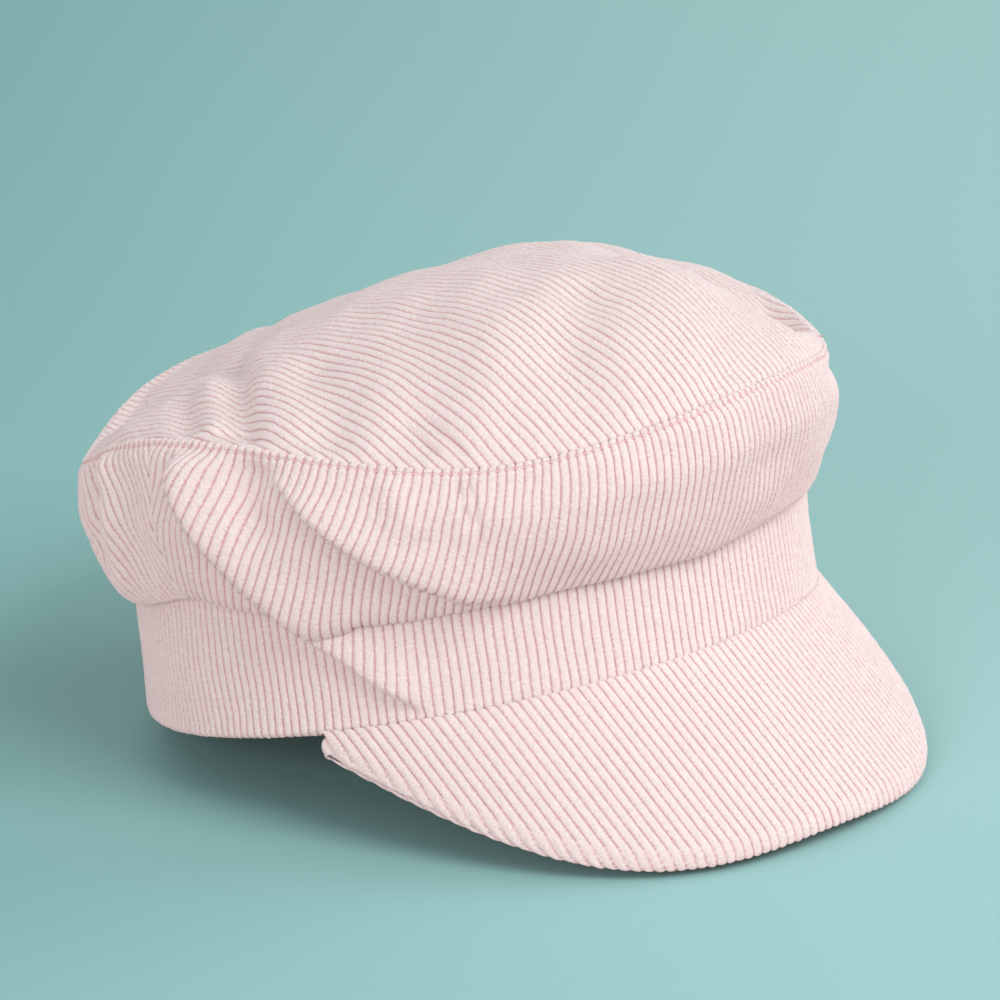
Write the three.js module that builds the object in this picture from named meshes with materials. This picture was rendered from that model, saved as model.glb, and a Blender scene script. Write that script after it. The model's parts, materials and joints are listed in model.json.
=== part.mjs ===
// Soft corduroy newsboy cap with a stiffened visor, standing on its visor edge and the back of its band.
// Everything is drawn in the cap's own frame (mm): the band's bottom rim lies in z = 0 round the origin,
// the visor points to -Y and the wearer's left is +X. The last section sets the cap down on the plane z = 0.
import * as THREE from "three";

// ---------- driving dimensions, mm and degrees ----------
const BAND_HEIGHT = 40;
const BAND_RIM = { a: 96, b: 92, cx: 0, cy: 0 }; // outer half width and half length at the bottom rim
const BAND_TOP = { a: 95.5, b: 91, cx: 3, cy: 0 }; // the soft band leans a little to the wearer's left
const CORDUROY = 1.6; // cloth thickness with its wales
const GAP = 0.3; // clearance kept between neighbouring pieces
const HEM_HEIGHT = 12; // cloth turned up inside the band
const HEM_CLOTH = 1.0;
const INTERFACING = 0.6;
const SWEATBAND = { thick: 0.8, bottom: 0.6, top: 33.5 };
const LINING = 0.6;
const THREAD_RADIUS = 0.35;
const LABEL = { halfAngle: 8, bottom: 8, top: 28, thick: 0.4 };
const SWEATBAND_STITCH_Z = 3.5;

const LIP = { a: 98.5, b: 94.5, cx: 3, cy: 0 }; // where the crown side hangs over the band
const BULGE = { a: 106, b: 106, cx: 4, cy: -1 }; // widest level of the crown side
const BULGE_SHARE = 0.55; // of the way from the lip up to the tip seam
const SEAM = { a: 101, b: 106, cx: 4, cy: -2 }; // ring where the tip is sewn to the sides
// Heights of the lip and of the tip seam: a mean, how far the front is lower than the back, how far both
// ends are lower than the sides, and local humps as [height, angle, width].
const LIP_HEIGHT = { mean: 33, frontDrop: 7, endsDrop: 0, humps: [[5, -86, 15]] };
const SEAM_HEIGHT = {
  mean: 77.3,
  frontDrop: 10.5,
  endsDrop: 3,
  humps: [
    [5, -88, 28],
    [-9, -125, 28],
    [4, 10, 28],
    [-3, -38, 20],
    [-5.5, 54, 22],
    [-6, -142, 22],
  ],
};
const LINING_FOOT = { z: 34.4, inset: 4.6 };
const LINING_KNEE = { z: 44, inset: 3.2 };
const LINING_HEAD = { drop: 1.6, inset: 2.6 };
const LINING_TIP_REACH = 0.955; // share of the tip seam's size
const CROWN_TOP = { z: 104, slopeX: 0.05, slopeY: -0.13, power: 2.3 };
const SIDE_SEAM_ANGLE = 90.5; // both side seams, measured from the front
const TOPSTITCH_DROP = 3; // below the tip seam

const VISOR_SLOPE = 48; // downward slope of the straight front-to-back lines
const VISOR_CORNER_X = 89.5;
const VISOR_LENGTH = 56.5; // along the slope, at the centre front
const VISOR_FRONT_HANDLE = 39.5;
const VISOR_CORNER_HANDLE = { length: 81.5, angle: 12.6 };
const VISOR_CLEARANCE = 0.8; // between the visor's sewn edge and the band's face, so the visor can flex
const VISOR_BOARD = 1.2;
const BOARD_INSET = 1.5; // from the sewn edge and from the turned edge
const BOARD_LEAST_WIDTH = 8.5; // the board's corners stop where the visor is this narrow
const VISOR_UNDER = 1.0;
const VISOR_END_SHARE = 0.965; // the loft stops short of the pointed corners

const REST_PITCH = 12.69; // front up, so visor edge and band back share one plane
const SEGMENTS = 60;

// ---------- small helpers ----------
const rad = (degrees) => (degrees * Math.PI) / 180;
const lerp = (a, b, t) => a + (b - a) * t;
const wrap = (angle) => Math.atan2(Math.sin(angle), Math.cos(angle));
const hump = (angle, centre, width) => Math.exp(-((wrap(angle - rad(centre)) / rad(width)) ** 2));

const group = new THREE.Group();

// A closed mesh from points and triangles; faces are turned outwards when their volume comes out negative.
function addPiece(name, points, faces, look) {
  let volume = 0;
  for (const [i, j, k] of faces) {
    volume += points[i].dot(new THREE.Vector3().crossVectors(points[j], points[k]));
  }
  const ordered = volume < 0 ? faces.map(([i, j, k]) => [i, k, j]) : faces;
  const geometry = new THREE.BufferGeometry().setFromPoints(points);
  geometry.setIndex(ordered.flat());
  geometry.computeVertexNormals();
  const mesh = new THREE.Mesh(geometry, new THREE.MeshStandardMaterial({ metalness: 0, ...look }));
  mesh.name = name;
  group.add(mesh);
}

// Joins closed cross-sections of equal point count into one body, as a ring or as a strip with two ends.
function addLoft(name, sections, isRing, look, endContour) {
  const count = sections[0].length;
  const points = sections.flat();
  const faces = [];
  const spans = isRing ? sections.length : sections.length - 1;
  for (let s = 0; s < spans; s++) {
    const here = s * count;
    const next = ((s + 1) % sections.length) * count;
    for (let p = 0; p < count; p++) {
      const q = (p + 1) % count;
      faces.push([here + p, here + q, next + q], [here + p, next + q, next + p]);
    }
  }
  if (!isRing) {
    const last = (sections.length - 1) * count;
    const turnsBack = THREE.ShapeUtils.isClockWise(endContour);
    for (const triangle of THREE.ShapeUtils.triangulateShape(endContour, [])) {
      const [i, j, k] = turnsBack ? triangle.reverse() : triangle;
      faces.push([k, j, i], [last + i, last + j, last + k]);
    }
  }
  addPiece(name, points, faces, look);
}

// Angles run round the cap from 0 at the front; a positive angle is on the wearer's left.
function anglesBetween(from, to, steps) {
  return Array.from({ length: steps + 1 }, (_, i) => rad(lerp(from, to, i / steps)));
}
const ringAngles = Array.from({ length: SEGMENTS }, (_, i) => (i * 2 * Math.PI) / SEGMENTS);

// A point on an oval ring, moved inwards by inset.
function onRing(ring, angle, z, inset = 0) {
  const x = ring.cx + (ring.a - inset) * Math.sin(angle);
  const y = ring.cy - (ring.b - inset) * Math.cos(angle);
  return new THREE.Vector3(x, y, z);
}

// ---------- looks ----------
const corduroyLook = { color: 0xedd9d8, roughness: 0.95 };
const liningLook = { color: 0xe9cfcf, roughness: 0.7 };
const threadLook = { color: 0xe6cdcc, roughness: 0.6 };
const stiffenerLook = { color: 0xe8e6e0, roughness: 0.8 };
const labelLook = { color: 0xf3f1ee, roughness: 0.7 };

// ---------- band, its stiffener and the sweatband ----------
function onBand(angle, z, inset) {
  const up = z / BAND_HEIGHT;
  const ring = {
    a: lerp(BAND_RIM.a, BAND_TOP.a, up),
    b: lerp(BAND_RIM.b, BAND_TOP.b, up),
    cx: lerp(BAND_RIM.cx, BAND_TOP.cx, up),
    cy: lerp(BAND_RIM.cy, BAND_TOP.cy, up),
  };
  return onRing(ring, angle, z, inset);
}

function addBandRing(name, contour, look) {
  const section = (angle) => contour.map(([inset, z]) => onBand(angle, z, inset));
  addLoft(name, ringAngles.map(section), true, look);
}

const slotIn = CORDUROY;
const slotOut = CORDUROY + INTERFACING + 2 * GAP;
const hemInside = slotOut + HEM_CLOTH;
addBandRing(
  "band_outer",
  [
    [0, 0],
    [0, BAND_HEIGHT],
    [slotIn, BAND_HEIGHT],
    [slotIn, HEM_CLOTH],
    [slotOut, HEM_CLOTH],
    [slotOut, HEM_HEIGHT],
    [hemInside, HEM_HEIGHT],
    [hemInside, 0],
  ],
  corduroyLook,
);

function rectangle(inset, thick, bottom, top) {
  return [
    [inset, bottom],
    [inset, top],
    [inset + thick, top],
    [inset + thick, bottom],
  ];
}
addBandRing(
  "band_interfacing",
  rectangle(slotIn + GAP, INTERFACING, HEM_CLOTH + GAP, BAND_HEIGHT - 2),
  stiffenerLook,
);
const sweatInset = hemInside + GAP;
addBandRing(
  "sweatband",
  rectangle(sweatInset, SWEATBAND.thick, SWEATBAND.bottom, SWEATBAND.top),
  liningLook,
);

// A thread is a six-sided strand laid along a list of centre points on level rings.
function strandSection(centre, angle) {
  const outwards = new THREE.Vector3(Math.sin(angle), -Math.cos(angle), 0);
  return Array.from({ length: 6 }, (_, i) => {
    const turn = (i * Math.PI) / 3;
    return centre
      .clone()
      .addScaledVector(outwards, THREAD_RADIUS * Math.cos(turn))
      .add(new THREE.Vector3(0, 0, THREAD_RADIUS * Math.sin(turn)));
  });
}
const sweatFace = sweatInset + SWEATBAND.thick;
addLoft(
  "sweatband_stitch",
  ringAngles.map((t) => strandSection(onBand(t, SWEATBAND_STITCH_Z, sweatFace + GAP + THREAD_RADIUS), t)),
  true,
  threadLook,
);

// Blank woven label inside the back of the sweatband.
const labelContour = rectangle(sweatFace + GAP, LABEL.thick, LABEL.bottom, LABEL.top);
addLoft(
  "size_label",
  anglesBetween(180 - LABEL.halfAngle, 180 + LABEL.halfAngle, 6).map((t) =>
    labelContour.map(([inset, z]) => onBand(t, z, inset)),
  ),
  false,
  labelLook,
  labelContour.map(([inset, z]) => new THREE.Vector2(inset, z)),
);

// ---------- crown: the lip over the band, the bulging side and the domed tip ----------
function levelAt(level, t) {
  const even = level.mean - level.frontDrop * Math.cos(t) - level.endsDrop * Math.cos(2 * t);
  return level.humps.reduce((z, [height, at, width]) => z + height * hump(t, at, width), even);
}
const lipZ = (t) => levelAt(LIP_HEIGHT, t);
const seamZ = (t) => levelAt(SEAM_HEIGHT, t);

// A curve through three points, share 0 at the first and 1 at the last.
function throughThree(first, middle, last, share) {
  const handle = middle.clone().multiplyScalar(2).addScaledVector(first, -0.5).addScaledVector(last, -0.5);
  return first
    .clone()
    .multiplyScalar((1 - share) ** 2)
    .addScaledVector(handle, 2 * share * (1 - share))
    .addScaledVector(last, share ** 2);
}

function crownSide(angle, share, inset, seamDrop) {
  const top = seamZ(angle) - seamDrop;
  const middleZ = lerp(lipZ(angle), top, BULGE_SHARE);
  return throughThree(
    onRing(LIP, angle, lipZ(angle), inset),
    onRing(BULGE, angle, middleZ, inset),
    onRing(SEAM, angle, top, inset),
    share,
  );
}

const SIDE_STEPS = 6;
const shares = Array.from({ length: SIDE_STEPS + 1 }, (_, i) => i / SIDE_STEPS);

// A strip of the crown side from one angle to another, as a closed wall of the given thickness.
function addSideStrip(name, from, to, steps, wall, look) {
  const section = (t) => [
    ...shares.map((v) => wall(t, v, 0)),
    ...[...shares].reverse().map((v) => wall(t, v, 1)),
  ];
  const contour = [
    ...shares.map((v) => new THREE.Vector2(0, v)),
    ...[...shares].reverse().map((v) => new THREE.Vector2(-0.1, v)),
  ];
  addLoft(name, anglesBetween(from, to, steps).map(section), false, look, contour);
}

const seamGap = THREE.MathUtils.radToDeg(GAP / SEAM.a) / 2;
const frontEdge = SIDE_SEAM_ANGLE - seamGap;
const backEdge = SIDE_SEAM_ANGLE + seamGap;
const outerWall = (t, v, face) => crownSide(t, v, face * CORDUROY, GAP);
addSideStrip("side_panel_front", -frontEdge, frontEdge, 34, outerWall, corduroyLook);
addSideStrip("side_panel_back", backEdge, 360 - backEdge, 32, outerWall, corduroyLook);

// The lining hangs from the top of the sweatband and follows the crown side loosely inside it.
function liningWall(t, v, face) {
  const inset = face * LINING;
  const foot = onBand(t, LINING_FOOT.z, LINING_FOOT.inset + inset);
  const knee = onBand(t, LINING_KNEE.z, LINING_KNEE.inset + inset);
  const head = onRing(SEAM, t, seamZ(t) - LINING_HEAD.drop, LINING_HEAD.inset + inset);
  return foot
    .multiplyScalar((1 - v) ** 2)
    .addScaledVector(knee, 2 * v * (1 - v))
    .addScaledVector(head, v ** 2);
}
addSideStrip("lining_side_front", -frontEdge, frontEdge, 34, liningWall, liningLook);
addSideStrip("lining_side_back", backEdge, 360 - backEdge, 32, liningWall, liningLook);

// Height of the tip at a share of the way from its middle to its seam.
function tipPoint(angle, share, lift) {
  const rim = onRing(SEAM, angle, 0);
  const x = lerp(SEAM.cx, rim.x, share);
  const y = lerp(SEAM.cy, rim.y, share);
  const crest = CROWN_TOP.z + CROWN_TOP.slopeX * x + CROWN_TOP.slopeY * y;
  const z = lerp(crest, seamZ(angle), share ** CROWN_TOP.power);
  return new THREE.Vector3(x, y, z + lift);
}

// A domed disc between two lifts above the tip's base surface, out to the given share of the seam ring.
function addDome(name, bottomLift, topLift, reach, look) {
  const ringCount = 7;
  const points = [tipPoint(0, 0, topLift), tipPoint(0, 0, bottomLift)];
  for (const lift of [topLift, bottomLift]) {
    for (let r = 1; r <= ringCount; r++) {
      const share = reach * (r / ringCount) ** 0.8;
      points.push(...ringAngles.map((t) => tipPoint(t, share, lift)));
    }
  }
  const at = (side, r, s) => 2 + (side * ringCount + r - 1) * SEGMENTS + (s % SEGMENTS);
  const faces = [];
  for (let s = 0; s < SEGMENTS; s++) {
    faces.push([0, at(0, 1, s), at(0, 1, s + 1)], [1, at(1, 1, s + 1), at(1, 1, s)]);
    for (let r = 1; r < ringCount; r++) {
      faces.push([at(0, r, s), at(0, r + 1, s), at(0, r + 1, s + 1)]);
      faces.push([at(0, r, s), at(0, r + 1, s + 1), at(0, r, s + 1)]);
      faces.push([at(1, r, s), at(1, r + 1, s + 1), at(1, r + 1, s)]);
      faces.push([at(1, r, s), at(1, r, s + 1), at(1, r + 1, s + 1)]);
    }
    const n = ringCount;
    faces.push([at(0, n, s), at(1, n, s), at(1, n, s + 1)], [at(0, n, s), at(1, n, s + 1), at(0, n, s + 1)]);
  }
  addPiece(name, points, faces, look);
}
addDome("crown_tip", 0, CORDUROY, 1, corduroyLook);
addDome("lining_tip", -LINING - 3 * GAP, -3 * GAP, LINING_TIP_REACH, liningLook);

addLoft(
  "crown_topstitch",
  ringAngles.map((t) => {
    const height = seamZ(t) - lipZ(t);
    const onFace = crownSide(t, 1 - TOPSTITCH_DROP / height, -GAP - THREAD_RADIUS, GAP);
    return strandSection(onFace, t);
  }),
  true,
  threadLook,
);

// ---------- visor: top cover with its turned-down edge, board and under cover ----------
const slopeRatio = Math.tan(rad(VISOR_SLOPE));
const steepness = 1 / Math.cos(rad(VISOR_SLOPE)); // vertical size of a thickness on the slope
const visorRing = { a: BAND_RIM.a + VISOR_CLEARANCE, b: BAND_RIM.b + VISOR_CLEARANCE };
const seamY = (x) => -visorRing.b * Math.sqrt(1 - (x / visorRing.a) ** 2);

// Right half of the visor's outline in plan, from the centre front to the corner.
const corner = new THREE.Vector2(VISOR_CORNER_X, seamY(VISOR_CORNER_X));
const frontY = seamY(0) - VISOR_LENGTH * Math.cos(rad(VISOR_SLOPE));
const cornerHandle = new THREE.Vector2(
  -Math.sin(rad(VISOR_CORNER_HANDLE.angle)),
  -Math.cos(rad(VISOR_CORNER_HANDLE.angle)),
).multiplyScalar(VISOR_CORNER_HANDLE.length);
const outline = new THREE.CubicBezierCurve(
  new THREE.Vector2(0, frontY),
  new THREE.Vector2(VISOR_FRONT_HANDLE, frontY),
  corner.clone().add(cornerHandle),
  corner,
);

// A column of the visor, from the sewn edge to the outline; share -1 and 1 are its two corners.
function visorColumn(share) {
  const edge = outline.getPoint(Math.abs(share));
  const x = Math.sign(share) * edge.x;
  return { x, seam: seamY(x), width: seamY(x) - edge.y };
}

// A point a distance out from the sewn edge, in plan, and a thickness below the top face.
function onVisor(column, out, below) {
  return new THREE.Vector3(column.x, column.seam - out, -out * slopeRatio - below * steepness);
}

const COLUMNS = 40;
const ROWS = 4;
const visorShares = anglesBetween(-90, 90, COLUMNS).map((t) => Math.sin(t) * VISOR_END_SHARE);

// Strip of the visor between two distances from its edges and two depths.
function visorLayer(column, from, to, top, bottom) {
  const rows = Array.from({ length: ROWS + 1 }, (_, i) => lerp(from, to, i / ROWS));
  return [
    ...rows.map((out) => onVisor(column, out, top)),
    ...[...rows].reverse().map((out) => onVisor(column, out, bottom)),
  ];
}
function layerContour() {
  const rows = Array.from({ length: ROWS + 1 }, (_, i) => i);
  return [
    ...rows.map((r) => new THREE.Vector2(r, 1)),
    ...[...rows].reverse().map((r) => new THREE.Vector2(r, 0)),
  ];
}

const boardTop = CORDUROY + GAP;
const underTop = boardTop + VISOR_BOARD + GAP;
const underBottom = underTop + VISOR_UNDER;
const turnedEdge = CORDUROY;

function topCoverSection(column) {
  const inner = column.width - turnedEdge;
  const rows = Array.from({ length: ROWS + 1 }, (_, i) => i / ROWS);
  return [
    ...rows.map((r) => onVisor(column, r * column.width, 0)),
    onVisor(column, column.width, underBottom),
    onVisor(column, inner, underBottom),
    ...[...rows].reverse().map((r) => onVisor(column, r * inner, CORDUROY)),
  ];
}
const topCoverContour = [
  ...Array.from({ length: ROWS + 1 }, (_, i) => new THREE.Vector2(i, 2)),
  new THREE.Vector2(ROWS, 0),
  new THREE.Vector2(ROWS - 0.5, 0),
  ...Array.from({ length: ROWS + 1 }, (_, i) => new THREE.Vector2((ROWS - i) * (1 - 0.5 / ROWS), 1)),
];
const columns = visorShares.map(visorColumn);
addLoft("visor_top", columns.map(topCoverSection), false, corduroyLook, topCoverContour);

const boardColumns = columns.filter((c) => c.width > BOARD_LEAST_WIDTH);
addLoft(
  "visor_board",
  boardColumns.map((c) =>
    visorLayer(c, BOARD_INSET, c.width - turnedEdge - BOARD_INSET, boardTop, boardTop + VISOR_BOARD),
  ),
  false,
  stiffenerLook,
  layerContour(),
);
addLoft(
  "visor_under",
  columns.map((c) => visorLayer(c, 0, c.width - turnedEdge - GAP, underTop, underBottom)),
  false,
  corduroyLook,
  layerContour(),
);

// ---------- setting the cap down: pitched on to its resting plane, origin under its middle ----------
group.rotation.x = rad(-REST_PITCH);
group.updateMatrixWorld(true);
const box = new THREE.Box3().setFromObject(group, true);
const middle = box.getCenter(new THREE.Vector3());
group.position.set(-middle.x, -middle.y, -box.min.z);

export default group;
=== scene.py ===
"""A soft corduroy newsboy cap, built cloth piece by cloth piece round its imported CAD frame.

Every piece is worked out in the cap's own frame, in millimetres: the band's bottom rim lies in z = 0 round
the origin, the visor points to -Y and the wearer's left is +X. to_row() then sets it into the row frame.
Angles run round the cap from 0 at the front; a positive angle is on the wearer's left.
"""

import json
import math

import bpy
import numpy as np
from mathutils import Matrix

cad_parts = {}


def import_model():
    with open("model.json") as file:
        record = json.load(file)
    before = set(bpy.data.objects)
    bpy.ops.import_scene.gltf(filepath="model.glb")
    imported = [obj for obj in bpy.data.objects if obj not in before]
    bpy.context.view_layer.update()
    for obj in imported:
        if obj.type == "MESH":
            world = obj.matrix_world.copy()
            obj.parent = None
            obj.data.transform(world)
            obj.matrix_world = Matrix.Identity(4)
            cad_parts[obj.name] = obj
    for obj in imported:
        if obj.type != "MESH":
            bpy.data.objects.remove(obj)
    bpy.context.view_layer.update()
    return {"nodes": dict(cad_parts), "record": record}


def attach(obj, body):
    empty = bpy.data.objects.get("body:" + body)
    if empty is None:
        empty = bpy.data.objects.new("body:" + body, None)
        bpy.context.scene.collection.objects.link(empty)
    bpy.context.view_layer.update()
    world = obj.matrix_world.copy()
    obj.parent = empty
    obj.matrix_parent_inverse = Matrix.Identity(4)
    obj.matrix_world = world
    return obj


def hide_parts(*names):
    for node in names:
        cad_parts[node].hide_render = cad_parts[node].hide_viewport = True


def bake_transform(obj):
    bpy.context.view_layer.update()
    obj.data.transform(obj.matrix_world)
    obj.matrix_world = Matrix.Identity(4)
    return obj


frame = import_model()


# ---------- the cap's own frame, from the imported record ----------
def node_points(node):
    """Vertices of a CAD node in the row frame, in millimetres."""
    return np.array([v.co for v in frame["nodes"][node].data.vertices], float) * 1000


def cap_frame():
    """Origin (mm) and axes (as columns) of the cap's own frame, from the flat rim of the band."""
    rim = next(m for m in frame["record"]["mounts"] if m["name"] == "band_rim")
    up = -np.array(rim["axis"])
    up /= np.linalg.norm(up)
    left = np.array([1.0, 0.0, 0.0])
    axes = np.stack([left, np.cross(up, left), up], 1)
    points = node_points("band_outer") @ axes
    bottom = points[points[:, 2] < points[:, 2].min() + 0.05]
    return axes @ ((bottom.min(0) + bottom.max(0)) / 2), axes


ORIGIN, AXES = cap_frame()


def to_row(points):
    """Row frame in metres, from the cap's own frame in millimetres."""
    return (np.asarray(points, float) @ AXES.T + ORIGIN) / 1000


def cap_points(*nodes):
    """Vertices of CAD nodes in the cap's own frame."""
    return np.concatenate([(node_points(n) - ORIGIN) @ AXES for n in nodes])


def ring_of(points):
    """The oval that holds points seen from above: half width, half length and the place of its middle."""
    low, high = points.min(0), points.max(0)
    return {
        "a": (high[0] - low[0]) / 2,
        "b": (high[1] - low[1]) / 2,
        "cx": (high[0] + low[0]) / 2,
        "cy": (high[1] + low[1]) / 2,
    }


# ---------- driving sizes, in mm ----------
WALE = 2.6  # from one wale to the next
SAMPLES = 8  # mesh columns to one wale
RIDGE = 0.65  # height of a wale over its grooves
GROOVE_DEPTH = 0.4  # the grooves lie this far under the CAD surface
CLOTH = 1.4  # from the CAD surface to the cloth's back
SEAM_ROUND = 1.3  # cloth edges roll into a seam with this radius

band_points = cap_points("band_outer")
BAND_HEIGHT = band_points[:, 2].max()
BAND_RIM = ring_of(band_points[band_points[:, 2] < 0.05])
BAND_TOP = ring_of(band_points[band_points[:, 2] > BAND_HEIGHT - 0.05])
BULGE = ring_of(cap_points("side_panel_front", "side_panel_back"))
SEAM = ring_of(cap_points("crown_tip"))
BULGE_SHARE = 0.55  # how far up the side it is widest
LIP_OUT = 3.0  # the side's lip hangs this far outside the band
SIDE_RISE = 50.0  # nominal height of the crown side, from its lip to the tip seam
UNDER_TURN = 12.0  # cloth turned back under the lip, up to the top of the band
LIP_JOIN = 0.06  # share of the side's height where the turn under the lip starts
SIDE_RADIUS = 104.0  # turns angles into distances along the side
SIDE_SEAM = math.radians(90.5)
PANEL_SPREAD = math.radians(20)  # half the angle that a side panel's flat pattern spans
TOPSTITCH_DROP = 2.4

# A level's height: its mean, less "front" times the cosine of the angle, less "ends" times the cosine of twice
# the angle, then humps as (height, angle, width), with angles and widths in degrees.
LIP_LEVEL = {"mean": 33, "front": 7, "ends": 0, "humps": [(5, -86, 15)]}
SEAM_LEVEL = {
    "mean": 77.3,
    "front": 10.5,
    "ends": 3,
    "humps": [
        (5, -88, 28),
        (-9, -125, 28),
        (4, 10, 28),
        (-3, -38, 20),
        (-5.5, 54, 22),
        (-6, -142, 22),
    ],
}
CREST = {"z": 104, "slope_x": 0.05, "slope_y": -0.13, "power": 2.3}

HEM_DEPTH = 3.8  # from the band's face to its hem's face, turned up inside
HEM_HEIGHT = 12.0
HEM_CLOTH = 1.15
VISOR_SLOPE = math.radians(48)
VISOR_ROOT = {"a": 96.8, "b": 92.8}
VISOR_LENGTH = 56.5
VISOR_CORNER = 89.5
VISOR_FRONT_HANDLE = 39.5
VISOR_CORNER_HANDLE = 81.5
VISOR_CORNER_TURN = math.radians(12.6)
VISOR_THICKNESS = 4.4
VISOR_RIM = 1.85  # radius of its rolled outer edge
VISOR_TAPER = 9.0  # the visor thins down to its rim over this distance
VISOR_TUCK = 2.0  # the visor's root runs this far under the band
VISOR_LAP = 1.1  # its root rises by up to this much, into the turn of the hem
VISOR_HEM = 2.6  # cloth turned back under its outer edge
VISOR_UNDER_CLOTH = 0.95
LINING_CLOTH = 0.5
SIDE_LINING_GAP = 2.5  # from the side's outer surface in to its lining
SWEATBAND_IN = 4.9  # from the band's face to the sweatband's face


# ---------- small helpers ----------
def smooth(x):
    """Eases from 0 to 1 as x goes from 0 to 1."""
    x = np.clip(x, 0, 1)
    return x * x * (3 - 2 * x)


def wrap(angle):
    """The same angle, between minus and plus half a turn."""
    return np.arctan2(np.sin(angle), np.cos(angle))


def mix(a, b, share):
    return a + (b - a) * share


def level(shape, angle):
    """Height of a seam or fold line at an angle round the cap."""
    z = shape["mean"] - shape["front"] * np.cos(angle) - shape["ends"] * np.cos(2 * angle)
    for height, at, width in shape["humps"]:
        z = z + height * np.exp(-((wrap(angle - math.radians(at)) / math.radians(width)) ** 2))
    return z


def on_ring(ring, angle, z, out=0.0):
    """Points on an oval grown by out."""
    x = ring["cx"] + (ring["a"] + out) * np.sin(angle)
    y = ring["cy"] - (ring["b"] + out) * np.cos(angle)
    return np.stack([x, y, z + 0 * x], -1)


def on_band(angle, z, out=0.0):
    """Points out from the band's face, which leans from its rim's oval to its top's."""
    ring = {k: mix(BAND_RIM[k], BAND_TOP[k], z / BAND_HEIGHT) for k in BAND_RIM}
    return on_ring(ring, angle, z, out)


def waves(u, v, size, seed, count=7):
    """Smooth unevenness between about -1 and 1, with humps of the given size in mm."""
    random = np.random.default_rng(seed)
    total = np.zeros(np.broadcast(u, v).shape)
    for _ in range(count):
        heading, phase = random.uniform(0, 2 * math.pi, 2)
        length = size * random.uniform(0.7, 1.6)
        total += np.sin(2 * math.pi * (u * math.cos(heading) + v * math.sin(heading)) / length + phase)
    return total / math.sqrt(count)


def ring_waves(angle, v, size, seed):
    """waves() that meet themselves all the way round the cap."""
    x = SIDE_RADIUS * np.sin(angle)
    y = SIDE_RADIUS * np.cos(angle)
    return 0.7 * (waves(x, v, size, seed) + waves(y, v, size, seed + 50))


def spaced(count, dense_start, dense_end):
    """Shares from 0 to 1 that lie closer together at the ends; 0 leaves an end even and 1 crowds it."""
    t = np.linspace(0, 1, count)
    early = t - dense_start * np.sin(np.pi * t) / np.pi * (1 - t)
    return early + dense_end * np.sin(np.pi * t) / np.pi * t


def rolled(distance, radius=SEAM_ROUND):
    """How far a cloth edge has rolled down at a distance from its seam."""
    near = np.clip(1 - distance / radius, 0, 1)
    return radius * (1 - np.sqrt(1 - near * near))


def unit(vectors):
    return vectors / np.maximum(np.linalg.norm(vectors, axis=-1, keepdims=True), 1e-9)


def grid_normals(points, ring=False):
    """Normals of a grid of points, which closes on itself along its rows when it is a ring."""
    across = np.roll(points, -1, 1) - np.roll(points, 1, 1) if ring else np.gradient(points, axis=1)
    return unit(np.cross(across, np.gradient(points, axis=0)))


def surface_normals(surface, u, v, du, dv):
    """Normals of a surface given as a function of two coordinates."""
    across = surface(u + du, v) - surface(u - du, v)
    return unit(np.cross(across, surface(u, v + dv) - surface(u, v - dv)))


# ---------- folds ----------
def along_path(u, v, path):
    """Signed distance to a bent line, positive on its left, and the share of the way along it."""
    corners = np.asarray(path, float)
    lengths = np.hypot(*np.diff(corners, axis=0).T)
    starts = np.concatenate([[0], np.cumsum(lengths)])
    nearest = np.full(u.shape, 1e9)
    signed = np.zeros(u.shape)
    share = np.zeros(u.shape)
    for a, b, length, start in zip(corners[:-1], corners[1:], lengths, starts):
        step = (b - a) / length
        run = np.clip((u - a[0]) * step[0] + (v - a[1]) * step[1], 0, length)
        du = u - a[0] - run * step[0]
        dv = v - a[1] - run * step[1]
        distance = np.hypot(du, dv)
        closer = distance < nearest
        nearest = np.where(closer, distance, nearest)
        signed = np.where(closer, distance * np.sign(step[0] * dv - step[1] * du), signed)
        share = np.where(closer, (start + run) / starts[-1], share)
    return signed, share


def curved(path, pieces=6):
    """A path with its corners rounded (a Catmull-Rom curve through its points)."""
    knots = np.array(path, float)
    before = 2 * knots[:1] - knots[1:2]
    after = 2 * knots[-1:] - knots[-2:-1]
    knots = np.concatenate([before, knots, after])
    t = np.linspace(0, 1, pieces, endpoint=False)[:, None]
    runs = [
        0.5 * (2 * b + (c - a) * t + (2 * a - 5 * b + 4 * c - d) * t**2 + (3 * b - a - 3 * c + d) * t**3)
        for a, b, c, d in zip(knots[:-3], knots[1:-2], knots[2:-1], knots[3:])
    ]
    return np.concatenate(runs + [knots[-2:-1]])


def fade(share, start, end):
    """1 along a fold, easing to 0 over its first and last parts."""
    return smooth(share / start) * smooth((1 - share) / end)


def crease(u, v, path, height, width, start=0.25, end=0.25):
    """A soft ridge, or a furrow when height is negative."""
    signed, share = along_path(u, v, path)
    return height * np.exp(-((signed / width) ** 2)) * fade(share, start, end)


def overlap(u, v, path, rise, sink, reach, start=0.2, end=0.2, turn=0.8):
    """Cloth on the left of the path rolls up over the cloth on its right: its height, and how far it rolls."""
    signed, share = along_path(u, v, path)
    strength = fade(share, start, end)
    above = 0.5 * (1 + np.tanh(signed / turn))
    up = rise * above * np.exp(-((np.maximum(signed, 0) / reach) ** 2))
    down = sink * (1 - above) * np.exp(-np.maximum(-signed, 0) / (0.6 * reach))
    roll = above * np.exp(-np.maximum(signed - turn, 0) / (0.35 * reach))
    return (up - down) * strength, roll * strength


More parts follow.
